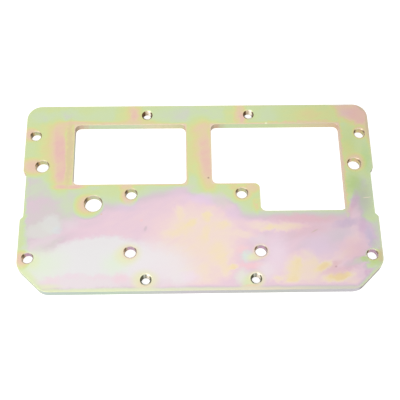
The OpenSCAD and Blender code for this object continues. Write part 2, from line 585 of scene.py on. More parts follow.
# Patches where the film is thinner or thicker: centre, half size, turn, softness, strength
# and the film's thickness there
frame_patches = [
    # Left column
    ((-90, 30), (5.5, 20), 8, 0.9, 0.9, 0.27),
    ((-101, 30), (4.5, 4.5), 0, 0.8, 1.0, 0.45),
    ((-62, 4.6), (3.4, 1.8), 0, 0.6, 0.8, 0.6),
    ((-50, 4), (4, 2), 0, 0.6, 0.6, 0.4),
    ((-101.5, -30), (3, 8), 0, 0.8, 0.9, 0.5),
    ((-43, 5), (4.5, 2.6), 0, 0.6, 0.9, 0.12),
    ((-95, 3), (6.4, 5), 0, 0.7, 0.8, 0.63),
    ((-102.4, -10), (1.8, 24), 0, 0.6, 0.9, 0.42),
    # Top band
    ((-85, 53), (14, 4), 0, 0.7, 0.9, 0.66),
    ((-58, 53), (10, 4), 0, 0.7, 0.8, 0.53),
    ((-46, 54), (3.5, 8), 0, 0.8, 0.9, 0.34),
    ((-39, 54.5), (4, 9), 0, 0.9, 1.0, 0.13),
    ((-39, 54), (1.8, 3.6), 0, 0.9, 0.7, 0.06),
    ((-38, 49), (10, 1.8), 0, 0.8, 0.8, 0.14),
    ((-24, 54), (6, 4), 0, 0.7, 0.8, 0.52),
    ((-8, 54), (11, 5), 0, 0.7, 1.0, 0.66),
    ((10, 54), (6, 5), 0, 0.8, 0.9, 0.56),
    ((3, 55), (4, 3), 0, 0.7, 0.9, 0.69),
    ((18.5, 54), (2.5, 8), 0, 0.8, 0.9, 0.36),
    ((25.6, 54), (3.6, 9), 0, 0.9, 1.0, 0.12),
    ((27, 52), (1.8, 4), 0, 0.9, 0.8, 0.05),
    ((43, 53), (5, 4), 0, 0.8, 0.9, 0.55),
    ((70, 53), (14, 6), 0, 0.8, 0.9, 0.27),
    ((75, 57.5), (6, 2), 0, 0.8, 0.7, 0.37),
    ((96, 56), (15, 8.5), -38, 0.45, 1.0, 0.07),
    ((98, 50), (5, 3), -40, 0.7, 0.8, 0.02),
    ((102.8, 38), (1.6, 12), 0, 0.7, 0.9, 0.12),
    ((62, 48.1), (22, 1.1), 0, 0.6, 0.9, 0.13),
    # Centre bar
    ((-4, 31), (4, 15), 0, 0.8, 0.9, 0.26),
    ((-5.2, 20), (2, 8), 0, 0.8, 0.9, 0.3),
    ((-4, 9), (3, 4.5), 30, 0.8, 0.8, 0.56),
    ((1, 2.4), (6, 2.6), 0, 0.8, 0.9, 0.56),
    # Right column
    ((90, 28), (3, 8), 0, 0.8, 0.9, 0.29),
    ((92.5, 36), (4, 3), 0, 0.8, 0.8, 0.44),
    ((101.5, 27), (2, 9), 0, 0.8, 0.9, 0.52),
    ((102, 16), (2, 4), 0, 0.7, 0.9, 0.56),
    ((86.4, 18), (0.9, 28), 0, 0.7, 1.0, 0.1),
    ((90, 9), (4, 5), -20, 0.8, 0.8, 0.42),
    ((97, 6), (2.2, 3.6), -10, 0.7, 0.9, 0.66),
    ((101.2, -1), (2, 10), 0, 0.7, 0.9, 0.57),
    ((98.8, -15.4), (4.5, 3.4), 15, 0.7, 1.0, 0.48),
    ((97, -7), (3, 6), 0, 0.9, 0.8, 0.66),
    # Ledge
    ((20, 4.5), (3, 2), 0, 0.7, 0.8, 0.14),
    ((31, 3.2), (5, 3.4), 0, 0.7, 0.9, 0.12),
    ((33.4, -8), (2.2, 4), 0, 0.8, 0.9, 0.17),
    ((34, -1.6), (1.4, 1), 0, 0.6, 0.8, 0.44),
    ((34, -6), (1.3, 1.1), 0, 0.6, 0.8, 0.42),
]

# Strips beside the windows, with straighter borders, in the same form
band_strips = [
    ((-84.6, 28), (4.2, 21.5), 6, 0.7, 1.0, 0.15),
    ((-82.4, 26.6), (3.3, 20.4), 4, 0.5, 1.0, 0.04),
    ((-80.5, 45.6), (6, 3), 36, 0.7, 0.8, 0.16),
    ((-73, 48.6), (11, 1.3), 2, 0.7, 0.9, 0.11),
    ((-50, 48.3), (22, 0.9), 0, 0.8, 0.9, 0.14),
    ((-76, 5.3), (9.5, 1.5), 0, 0.5, 1.0, 0.08),
    ((-77.3, 26.7), (2.1, 20.8), 0, 0.16, 1.0, 0.19),
    ((3.2, 27), (4.6, 20), 5, 0.85, 1.0, 0.13),
    ((5, 23), (3, 18), 3, 0.8, 0.9, 0.07),
    ((4, 45.6), (7.5, 2.6), 16, 0.8, 0.8, 0.17),
]

# Patches in the wide part below the windows, in the same form
field_patches = [
    # Left field
    ((-90, -10), (20, 22), 0, 0.5, 0.9, 0.77),
    ((-97, -7), (6, 4), 20, 0.7, 0.9, 0.88),
    ((-86, -5), (5, 2.5), 10, 0.8, 0.7, 0.86),
    ((-76, -8), (5, 7), 30, 0.9, 0.7, 0.56),
    ((-66, -21), (13, 5), 14, 0.8, 0.9, 0.97),
    ((-88, -33), (9, 3.5), 30, 0.7, 0.7, 0.8),
    ((-38, -19), (24, 9), 14, 0.6, 0.9, 1.03),
    # Middle field: a cream ground with straw strokes
    ((-2, -32), (26, 25), -8, 0.35, 1.0, 1.2),
    ((2, -33), (16, 22), 0, 0.5, 0.8, 1.26),
    ((17, -9), (6, 3.5), -35, 0.7, 0.9, 1.0),
    ((23, -40), (3, 9), 0, 0.7, 0.8, 1.06),
    ((-11.5, -13), (2.6, 5), 12, 0.7, 0.9, 1.33),
    ((-8, -21), (8, 3.6), 28, 0.8, 0.8, 1.33),
    ((-5.2, -19.4), (4.2, 1.6), 32, 0.7, 0.9, 1.44),
    ((-15, -25), (6.4, 2.6), 10, 0.7, 0.8, 1.35),
    ((4, -15), (2.7, 3.2), -10, 0.6, 0.9, 1.43),
    ((3.5, -26.5), (2.2, 5), -8, 0.6, 0.9, 1.37),
    ((0.5, -30), (2.6, 3), 0, 0.8, 0.7, 1.33),
    ((13, -21), (5.5, 2.2), 12, 0.7, 0.9, 1.34),
    ((23, -26), (9, 2.2), -4, 0.8, 0.8, 1.3),
    ((10, -38), (5, 6), 10, 0.7, 0.8, 1.34),
    ((18, -46.8), (3.2, 1.3), 6, 0.6, 1.0, 1.44),
    ((13, -46), (2.6, 6), 14, 0.8, 0.8, 1.36),
    ((1.5, -50), (3.5, 4), 0, 0.7, 0.7, 1.32),
    ((-6, -33), (8, 2.5), 5, 0.8, 0.7, 1.3),
    ((32, -21), (6, 3), 0, 0.8, 0.8, 1.24),
    # Right field
    ((80, -26), (20, 6), 14, 0.6, 0.8, 0.93),
    ((70, -37), (5, 5), 0, 0.8, 0.7, 0.98),
    ((47, -22), (11, 3), -2, 0.7, 0.9, 1.32),
    ((40, -23), (4.4, 1.6), 10, 0.9, 0.9, 1.42),
    ((55, -23), (7, 1.6), 6, 0.8, 0.8, 1.34),
    ((71, -16.5), (3.4, 1.4), 0, 0.7, 0.9, 0.68),
    ((53, -14.6), (2, 1), 0, 0.7, 0.8, 0.72),
    ((88, -29), (4, 8), -28, 0.7, 0.8, 1.12),
    ((82, -39), (7, 3), 24, 0.8, 0.8, 1.24),
    ((60, -49), (17, 8), 6, 0.8, 0.9, 1.22),
    ((53, -47.5), (4.8, 6.4), -8, 0.8, 0.9, 1.4),
    ((54.5, -45.5), (1.8, 3.4), -14, 0.8, 0.9, 1.46),
    ((51.6, -54.4), (4.8, 2.6), 24, 0.8, 0.9, 1.46),
    ((43.4, -54), (3.4, 1.8), 12, 0.8, 0.9, 1.38),
    ((61, -50), (5, 4.4), 10, 0.8, 0.8, 1.3),
    ((63.5, -44.5), (4, 4), -10, 0.9, 0.8, 1.3),
    ((60.5, -38.5), (3.4, 2.4), 0, 0.8, 0.8, 1.28),
    ((69.4, -47), (5.2, 2.2), 34, 0.75, 1.0, 1.52),
    ((78, -53), (8, 2.7), 12, 0.75, 1.0, 1.58),
    ((86, -56), (5, 2), 0, 0.8, 0.8, 1.24),
    ((100, -45), (3.4, 4), -20, 0.8, 0.9, 0.4),
    ((91.2, -7), (2.4, 8), -10, 0.8, 0.9, 0.92),
    ((84, -46.5), (3, 2.4), 30, 0.7, 0.9, 0.86),
    ((93, -42.4), (3.4, 1.5), 8, 0.8, 0.9, 0.46),
    ((96.5, -46), (3.4, 2), 35, 0.8, 0.9, 0.42),
    ((89, -43.5), (3, 2), 30, 0.7, 0.7, 0.66),
    ((99.5, -33), (2.4, 3), 0, 0.6, 0.9, 0.5),
    ((102, -30), (2.2, 12), 0, 0.7, 0.8, 0.7),
]

# Ovals that the rings round the holes follow, each with its centre and half size
halos = [
    ((-65.2, -6.6), (8.8, 8.2)),
    ((-42, -1), (6, 6.8)),
    ((25.5, 0), (7.4, 6.6)),
    ((-101.6, -41), (6, 7)),
    ((98.6, -40.4), (4.8, 4.6)),
    ((-101, 41), (7, 6.6)),
    ((-98, 19), (10.6, 8)),
    ((98.3, 40.3), (6, 6)),
    ((93.5, 20), (8, 8)),
]

# Colours that are laid more than once
straw_glow = paint(232, 231, 186)
peach_glow = paint(238, 219, 192)
rose_glow = paint(229, 190, 199)
lilac_glow = paint(209, 188, 210)
violet_glow = paint(210, 176, 204)
deep_green = paint(176, 206, 126)
# Pale whitish tones, partly stains and partly painted sheen
mist = paint(231, 229, 229)
green_mist = paint(225, 236, 214)
rose_mist = paint(233, 219, 224)
khaki = paint(206, 193, 160)

# Glows over the film: centre, half size, turn, softness, strength and colour
glows = [
    ((-77.4, 27), (1.7, 21), 0, 0.4, 0.7, paint(217, 202, 161)),
    ((90, 54), (3.5, 2.6), 0, 0.9, 0.5, paint(226, 196, 196)),
    ((58, -17), (15, 2.4), 0, 0.8, 0.9, rose_glow),
    ((62, -25), (11, 4), 10, 0.8, 0.5, rose_glow),
    ((66, -18.5), (14, 2.2), 4, 0.9, 0.6, rose_glow),
    ((78, -49.5), (9, 2), 10, 0.7, 0.6, rose_glow),
    ((88, -37), (7, 6), 30, 0.8, 0.5, rose_glow),
    ((94, -22.5), (2.2, 5), -6, 0.9, 0.7, paint(214, 182, 210)),
    ((97.4, -28), (2, 5.5), 0, 0.9, 0.7, paint(200, 188, 214)),
    ((85, -20), (7, 2.4), 14, 0.7, 0.8, lilac_glow),
    ((80, -27.5), (8, 3.4), 14, 0.8, 0.6, paint(217, 205, 214)),
    ((88.4, -11), (2.4, 4), -24, 0.9, 0.7, rose_glow),
    ((91, -6), (1.6, 4), -12, 0.9, 0.6, violet_glow),
    ((99, -32), (2, 3), 0, 0.8, 0.6, lilac_glow),
    ((3, -3.4), (10, 3.2), -6, 0.8, 0.7, paint(232, 208, 231)),
    ((-12, 1.6), (7, 2.6), 22, 0.8, 0.5, paint(228, 204, 220)),
    ((-43, -8), (6, 3), 10, 0.8, 0.6, paint(227, 205, 226)),
    ((20, -13), (4, 4), -40, 0.8, 0.6, paint(229, 204, 224)),
    ((13, -5), (5.6, 3.4), -30, 0.8, 0.6, paint(217, 212, 200)),
    ((23.4, -36), (3, 2.4), 20, 0.7, 0.8, paint(243, 208, 211)),
    ((29, -46.4), (7, 2), 0, 0.6, 0.9, paint(243, 204, 210)),
    ((68, -35), (8, 6), -10, 0.9, 0.7, paint(226, 206, 225)),
    ((44, -38), (5, 9), 0, 0.9, 0.6, paint(238, 218, 232)),
    ((76, -46), (4, 1.6), 34, 0.7, 0.6, paint(226, 188, 190)),
    ((94, -51), (2, 1.2), 45, 0.8, 0.5, violet_glow),
    ((100, -44), (4, 2.6), 0, 0.8, 0.4, deep_green),
    ((93, -42.4), (2.8, 1.2), 8, 0.8, 0.5, deep_green),
    ((102.6, -41), (1.6, 4.2), 0, 0.7, 0.8, paint(214, 196, 154)),
    # Painted shade: a grey patch darkens the right column
    ((96, -3), (4.6, 10), 0, 0.9, 0.5, paint(180, 176, 174)),
    ((91, 6), (4, 6), -10, 0.8, 0.55, deep_green),
    ((100.6, 22), (2.4, 8), 0, 0.8, 0.4, paint(178, 214, 130)),
    ((91, 34), (4, 8), 0, 0.9, 0.35, paint(200, 214, 136)),
    ((-88, -28.6), (9, 2.6), 24, 0.8, 0.5, rose_mist),
    ((-75, -19), (5, 3.4), 20, 0.8, 0.5, rose_mist),
    ((34, -30), (5, 3), 0, 0.8, 0.6, rose_mist),
    ((-12, -53), (6, 4), 0, 0.8, 0.6, mist),
]

# Pale washes, in the same form: whitish stains of the film, partly a painted sheen over the
# brighter lower left
washes = [
    ((-85.5, -19), (5.6, 5.8), 0, 0.35, 0.8, paint(222, 222, 219)),
    ((-92, -23), (7.5, 4.5), 10, 0.35, 0.7, paint(221, 221, 215)),
    ((-82.5, -23), (2.5, 2), 0, 0.6, 0.5, paint(216, 224, 226)),
    ((-58, -37), (27, 9.5), 2, 0.2, 0.95, mist),
    ((-58, -42), (34, 8), 0, 0.3, 0.95, mist),
    ((-64, -51), (32, 8), 0, 0.35, 0.9, mist),
    ((-26, -44), (20, 12), -14, 0.6, 0.85, paint(236, 230, 232)),
    ((-94, -44), (9, 9), -30, 0.7, 0.85, green_mist),
    ((-84, -43), (8, 8), 0, 0.8, 0.5, green_mist),
    ((-48, -44), (7, 6), 20, 0.8, 0.75, green_mist),
    ((-66, -54.6), (26, 3.4), 0, 0.4, 0.7, rose_mist),
    ((-84, -53.6), (5, 2.4), 0, 0.7, 0.5, paint(238, 214, 220)),
    ((-72, -51.4), (5, 1.4), 6, 0.7, 0.5, paint(236, 214, 224)),
    ((-57, -52.4), (6, 1.8), -4, 0.7, 0.5, paint(236, 215, 222)),
    ((-45, -53.5), (5, 3), 0, 0.6, 0.8, paint(239, 212, 220)),
    ((-6, -52.4), (5, 3), 0, 0.8, 0.6, paint(240, 222, 234)),
    ((26.4, -40.2), (3.8, 2.6), 25, 0.7, 0.8, paint(215, 233, 222)),
    ((23, -53), (3.6, 4), 0, 0.8, 0.8, paint(229, 232, 218)),
    ((37, -49), (4.5, 5), 0, 0.8, 0.8, paint(238, 226, 230)),
    ((43, -42), (5, 9), 0, 0.8, 0.5, paint(239, 220, 230)),
]

# Warm rings round the lower holes, over the washes, in the same form
lower_rings = [
    ((-97.4, -50.4), (8, 2.2), -45, 0.8, 0.7, paint(222, 234, 178)),
    ((-88, -57.4), (8, 1.6), 0, 0.8, 0.6, paint(224, 234, 182)),
    ((-95, -42), (3.4, 4.4), 0, 0.7, 0.6, paint(226, 234, 180)),
    ((-41.5, -38.5), (7, 6), 25, 0.5, 0.75, straw_glow),
    ((-40.3, -37.2), (4.6, 4.4), 0, 0.3, 0.8, peach_glow),
    ((31, -40.6), (4.4, 2.4), 20, 0.6, 0.8, straw_glow),
    ((34.6, -37.2), (4.6, 4.4), 0, 0.3, 0.8, peach_glow),
    ((-31.5, -54.6), (6.6, 5.8), 0, 0.5, 0.8, straw_glow),
    ((-32, -57), (3, 2), 0, 0.7, 0.6, peach_glow),
    ((27.4, -56.4), (5, 4), 35, 0.6, 0.9, paint(219, 230, 186)),
    ((31, -54.6), (5, 4.6), 0, 0.4, 0.7, straw_glow),
    ((28, -58.4), (4.4, 0.8), 4, 0.7, 0.7, paint(236, 206, 180)),
]

# Small marks on the upper face, in the same form
marks = [
    ((-31.4, -22.4), (0.8, 1.7), -20, 0.6, 0.6, paint(205, 188, 194)),
    ((-34, -17), (1.1, 0.8), 20, 0.6, 0.6, paint(243, 203, 205)),
    ((41.4, 47.6), (0.7, 0.6), 0, 0.5, 0.9, paint(250, 246, 214)),
    ((5.3, 10.2), (0.5, 0.6), 0, 0.5, 0.8, paint(170, 140, 128)),
    ((98.5, -3.4), (2.4, 0.3), 4, 0.5, 0.8, paint(240, 226, 205)),
    ((76.6, -47), (0.6, 0.5), 0, 0.6, 0.7, paint(196, 160, 168)),
    ((83.6, -56), (1.2, 0.7), 0, 0.6, 0.6, paint(240, 214, 205)),
    ((-57, -13), (0.5, 0.4), 0, 0.6, 0.7, paint(232, 196, 150)),
    ((101.4, 57.6), (5.4, 1.2), -45, 0.6, 0.7, khaki),
    ((103.3, 45), (0.9, 8), 0, 0.6, 0.6, khaki),
    ((87, 60.3), (6, 0.7), 0, 0.6, 0.7, paint(224, 222, 214)),
    ((66, -25.4), (2.2, 0.35), 24, 0.6, 0.6, paint(205, 186, 170)),
]

# The underside's own front line, patches and washes
under_front = [(-104, -6), (-70, -14), (-30, -4), (5, -12), (40, -22), (75, -18), (104, -30)]
under_patches = [
    ((-80, 20), (14, 18), 25, 0.7, 0.8, 0.24),
    ((-40, 55), (40, 5), 0, 0.7, 0.8, 0.6),
    ((0, 25), (6, 20), 10, 0.7, 0.8, 0.1),
    ((60, 54), (30, 6), -8, 0.7, 0.8, 0.12),
    ((95, 20), (8, 22), 0, 0.7, 0.8, 0.3),
    ((-50, -35), (26, 10), -20, 0.7, 0.9, 1.22),
    ((20, -40), (20, 8), 25, 0.7, 0.9, 1.32),
    ((70, -46), (18, 6), -15, 0.7, 0.9, 1.4),
]
under_washes = [
    ((45, -30), (30, 8), -18, 0.4, 0.8, paint(231, 229, 227)),
    ((-75, -20), (18, 8), 30, 0.5, 0.7, paint(226, 232, 218)),
    ((-10, -52), (34, 6), 5, 0.5, 0.8, paint(234, 228, 230)),
]

# Colours along x of the pale rims of the faces, wear with a painted highlight
rim_colours = [
    (-104, paint(224, 227, 186)), (-50, paint(231, 234, 200)), (0, paint(230, 226, 202)),
    (35, paint(236, 217, 200)), (75, paint(218, 210, 202)), (104, paint(220, 208, 198)),
]

# Colours of the walls, the film's colours darkened as painted shade: along x for the windows'
# far walls and for the plate's front wall, and along y for the walls that face right, whose
# dark olive and brown are painted shade
far_wall_colours = [
    (-76, paint(190, 160, 140)), (-69, paint(200, 180, 155)), (-64, paint(190, 203, 168)),
    (-40, paint(192, 203, 168)), (-25, paint(210, 200, 166)), (-12, paint(200, 198, 156)),
    (8, paint(192, 158, 134)), (18, paint(188, 203, 163)), (50, paint(192, 203, 154)),
    (84, paint(206, 182, 150)),
]
front_wall_colours = [
    (-90, paint(180, 193, 186)), (-50, paint(180, 196, 176)), (-8, paint(188, 182, 188)),
    (40, paint(180, 183, 178)), (90, paint(186, 180, 188)),
]
shaded_left_wall_colours = [
    (-12, paint(165, 160, 132)), (10, paint(132, 116, 82)), (30, paint(108, 134, 110)),
    (42, paint(112, 96, 68)), (48, paint(164, 144, 118)),
]


def box_between(x1, x2, y1, y2):
    """The centre and the half size of a box between two places on each axis."""
    return ((x1 + x2) / 2, (y1 + y2) / 2), ((x2 - x1) / 2, (y2 - y1) / 2)


# The windows as boxes: the whole of each, and the right one's deep part beside the ledge
window_boxes = [
    box_between(left_window_x, left_window_end, window_bottom, window_top),
    box_between(right_window_x, right_window_end, window_bottom, window_top),
    box_between(ledge_end, right_window_end, deep_bottom, window_bottom),
]

# Rings along the edges: the film's thickness at an edge, and its growth in a millimetre
window_rings = [(0.1, 0.26), (0.1, 0.26), (0.4, 0.3)]
outline_ring = (0.4, 0.2)
outline_softness = 0.1

# The film's thickness above and below the front, and half the width of the turn between them
film_above = 0.46
film_below = 0.98
front_half = 7.0

# Pale rims, wear with a painted highlight: the distances from an edge between which one comes in,
# and its least and most
outline_rim = (1.0, 0.2, 0.0, 0.45)
window_rim = (0.9, 0.1, 0.0, 0.35)
lower_rim = (2.6, 0.8, 0.0, 0.75)

# How the films drift in plan: the noise's scale and detail, and its reach in millimetres. The
# rings at the edges take a share of it
slow_drift = (0.035, 2.0, 7)
quick_drift = (0.13, 3.0, 5)
fine_drift = (0.33, 3.0, 5)
edge_drift = 0.3

# Streaks in the films: their angle in degrees, how they stretch, their scale and their range
streak_turn = -25
streak_stretch = (0.4, 1, 1)
streak_scale = 0.16
streak_range = 0.24

# The finish: a metal under its film, with a rolled grain that is long in x
metal_share = 0.8
least_rough = 0.33
rough_range = 0.12
grain_strength = 0.08
grain_depth = 0.05 * MM

# How many patches are laid before the next ones wait for them
batch = 30


def set_at(place, centre, half):
    """The inputs that set a patch, a ring or a window's box at its place."""
    return {"Place": place, "Centre": (*centre, 0), "Half size": (*half, 1)}


def patch_mask(tree, place, centre, half, turn, soft, strength, kind=soft_patch):
    """The mask of one soft patch or strip."""
    shape = {"Turn": turn, "Softness": soft, "Strength": strength}
    return tree.group(kind, {**set_at(place, centre, half), **shape})


def colour_along(tree, value, stops):
    """The colour at a value, blended between stops of a value and a colour."""
    first = stops[0][0]
    span = stops[-1][0] - first
    share = tree.math("DIVIDE", tree.math("SUBTRACT", value, first), span)
    node = tree.add("ShaderNodeValToRGB", {0: share})
    ramp = node.color_ramp
    ramp.elements[1].position = 1
    for level, colour in stops[1:-1]:
        ramp.elements.new((level - first) / span)
    for element, (level, colour) in zip(ramp.elements, stops):
        element.color = colour
    return node.outputs[0]


def front_height(tree, x, front):
    """Height of the front line at x, as a smooth curve through its points."""
    width = right_edge - left_edge
    height = upper_edge - lower_edge
    share = tree.math("DIVIDE", tree.math("SUBTRACT", x, left_edge), width)
    node = tree.add("ShaderNodeFloatCurve", {1: share})
    curve = node.mapping.curves[0]
    spots = [((x - left_edge) / width, (y - lower_edge) / height) for x, y in front]
    curve.points[0].location = spots[0]
    curve.points[1].location = spots[-1]
    for spot in spots[1:-1]:
        curve.points.new(*spot)
    node.mapping.update()
    return tree.math("MULTIPLY_ADD", node.outputs[0], height, lower_edge)


def after(tree, place, value):
    """The place to a thousandth of a millimetre, known only once the value is known. Without
    it the renderer works out every mask first and runs out of room to hold them."""
    return tree.vector("MULTIPLY_ADD", value, (0.001, 0.001, 0), place)


def lay_films(tree, place, film, patches, kind=soft_patch):
    """Lays the films of patches on a film, one after another."""
    for number, (*patch, level) in enumerate(patches):
        if number % batch == 0:
            place = after(tree, place, film)
        film = tree.blend(patch_mask(tree, place, *patch, kind), film, level)
    return film


def lay_colours(tree, place, colour, patches, limit=None):
    """Lays the colours of patches on a colour, one after another, as far as the limit lets."""
    for number, (*patch, laid) in enumerate(patches):
        if number % batch == 0:
            place = after(tree, place, colour)
        share = patch_mask(tree, place, *patch)
        if limit is not None:
            share = tree.math("MULTIPLY", share, limit)
        colour = tree.mix(share, colour, laid)
    return colour


def window_edge(tree, place, box):
    """Distance of a place from the edge of a window's box."""
    return tree.group(window_distance, set_at(place, *box))


def outline_distance(tree, place):
    """Distance from the plate's outline, growing inwards: the least of the distances from
    the sides, the long edges and the cut lower corners."""
    y = tree.part(place, 1)
    across = tree.math("SUBTRACT", right_edge, tree.math("ABSOLUTE", tree.part(place, 0)))
    along = tree.math("SUBTRACT", upper_edge, tree.math("ABSOLUTE", y))
    rise = tree.math("SUBTRACT", y, lower_edge)
    cut = tree.math("SUBTRACT", tree.math("ADD", across, rise), lower_cut)
    slanted = tree.math("MULTIPLY", cut, math.sqrt(0.5))
    return tree.math("MINIMUM", tree.math("MINIMUM", across, along), slanted)


def face_film_group(name, front, patches, bands, glows, washes, rings, marks):
    """The colour of a face at a place in millimetres: a film between two thicknesses, with
    patches, strips and rings, then its colours with glows, washes with some painted sheen,
    pale rims of wear and painted highlight, and marks."""
    tree, given, result = new_group(
        name,
        {"Place": "Vector", "Warp": "Vector", "Ripple": "Vector", "Mottle": "Float"},
        "Colour", "Color",
    )
    place = given["Place"]
    near = tree.vector("MULTIPLY_ADD", given["Warp"], (edge_drift, edge_drift, 0), place)
    drawn = tree.vector("ADD", given["Ripple"], near)
    across = tree.part(near, 0)
    along = tree.part(near, 1)

    # The front: green above it, lilac and pink below
    below = tree.math("SUBTRACT", front_height(tree, across, front), along)
    film = tree.ease(below, -front_half, front_half, film_above, film_below)
    film = lay_films(tree, drawn, film, patches)
    film = lay_films(tree, near, film, bands, soft_strip)
    film = tree.math("ADD", film, given["Mottle"])

    # Rings round the windows, the holes and the outline
    for box, ring in zip(window_boxes, window_rings):
        film = edge_ring(tree, film, window_edge(tree, near, box), *ring, ring_softness)
    for centre, half in halos:
        film = tree.group(hole_halo, {"Film": film, **set_at(near, centre, half)})
    film = edge_ring(tree, film, outline_distance(tree, near), *outline_ring, outline_softness)

    # The paler rims, wear with a painted highlight, broadest at the lower edge
    wear_and_highlight = tree.ease(outline_distance(tree, place), *outline_rim)
    for box in window_boxes:
        rim = tree.ease(window_edge(tree, place, box), *window_rim)
        wear_and_highlight = tree.math("MAXIMUM", wear_and_highlight, rim)
    patchy = tree.noise(place, 0.25, 2.0)
    wear_and_highlight = tree.math("MULTIPLY", wear_and_highlight, tree.ease(patchy, 0.25, 0.6, 0.4, 1.0))
    level = tree.math("SUBTRACT", along, lower_edge)
    wear_and_highlight = tree.math("MAXIMUM", wear_and_highlight, tree.ease(level, *lower_rim))

    # The colours. The washes, pale stains with some painted sheen, lie only where the film is
    # thick
    colour = colour_along(tree, film, film_colours)
    colour = lay_colours(tree, drawn, colour, glows)
    colour = lay_colours(tree, drawn, colour, washes, tree.ease(film, 0.3, 0.6))
    colour = lay_colours(tree, near, colour, rings)
    colour = tree.mix(wear_and_highlight, colour, colour_along(tree, across, rim_colours))
    colour = lay_colours(tree, near, colour, marks)
    tree.link(colour, result)
    return tree.tree


upper_film = face_film_group(
    "upper_face_film", front_line, field_patches + frame_patches, band_strips, glows, washes,
    lower_rings, marks
)
under_film = face_film_group(
    "underside_film", under_front, under_patches, [], [], under_washes, [], []
)


def wander(tree, place, scale, detail, reach, start=(0, 0, 0)):
    """A start and what noise adds to it in plan, up to half the reach each way."""
    noise = tree.noise(place, scale, detail, "Color")
    centred = tree.vector("SUBTRACT", noise, (0.5, 0.5, 0.5))
    return tree.vector("MULTIPLY_ADD", centred, (reach, reach, 0), start)


def face_colour(tree, flat, x, z):
    """The colour of both faces. Slow and quick noise shift their films, and a streaky cloud
    makes them a little thicker and thinner. Towards the right they darken a little, as painted
    shade."""
    wide_warp = wander(tree, flat, *slow_drift)
    warp = wander(tree, flat, *quick_drift, wide_warp)
    ripple = wander(tree, flat, *fine_drift)
    turned = tree.turn(flat, math.radians(streak_turn))
    streaks = tree.noise(tree.vector("MULTIPLY", turned, streak_stretch), streak_scale)
    mottle = tree.centred(streaks, streak_range)
    inputs = {"Place": flat, "Warp": warp, "Ripple": ripple, "Mottle": mottle}
    upper = tree.group(upper_film, inputs)
    under = tree.group(under_film, inputs)
    middle = plate_t / 2
    colour = tree.mix(tree.ease(z, middle - 0.1, middle + 0.1), under, upper)
    # Painted shade: the faces grow a little darker towards the right
    shade_to_right = tree.ease(x, 10, right_edge)
    return tree.mix(shade_to_right, colour, paint(241, 241, 241), "MULTIPLY")


def wall_colour_with_painted_shade(tree, place, x, y, to_right):
    """The colour of the walls of the outline and the windows, painted light and shade by the way
    that they face, over the film's colours darkened as painted shade. Noise shifts it along them."""
    band = tree.noise(tree.vector("MULTIPLY", place, (1, 1, 0.3)), 0.3)
    shift = tree.centred(band, 16.0)
    along = tree.math("ADD", x, shift)
    far_wall = colour_along(tree, along, far_wall_colours)
    front_wall = colour_along(tree, along, front_wall_colours)
    # Painted shade: the cut corners' walls darken towards the right
    cut_wall_shade = tree.mix(tree.ease(x, -90, 90), paint(190, 198, 172), paint(112, 96, 92))
    is_cut = tree.ease(tree.math("ABSOLUTE", to_right), 0.3, 0.6)
    front_wall = tree.mix(is_cut, front_wall, cut_wall_shade)
    cut_top = lower_edge + lower_cut
    colour = tree.mix(tree.ease(y, cut_top + 2, cut_top), far_wall, front_wall)
    # Walls that face left take a warm tone and walls that face right a dark one, painted light
    # and shade by the way that they face
    is_side = tree.math("MULTIPLY", tree.ease(y, cut_top - 3.5, cut_top + 0.5), 0.9)
    is_left_facing = tree.math("MULTIPLY", tree.ease(to_right, -0.4, -0.8), is_side)
    colour = tree.mix(is_left_facing, colour, paint(202, 172, 146))
    shaded_left_wall = colour_along(tree, tree.math("ADD", y, shift), shaded_left_wall_colours)
    is_right_facing = tree.math("MULTIPLY", tree.ease(to_right, 0.1, 0.7), is_side)
    return tree.mix(is_right_facing, colour, shaded_left_wall)


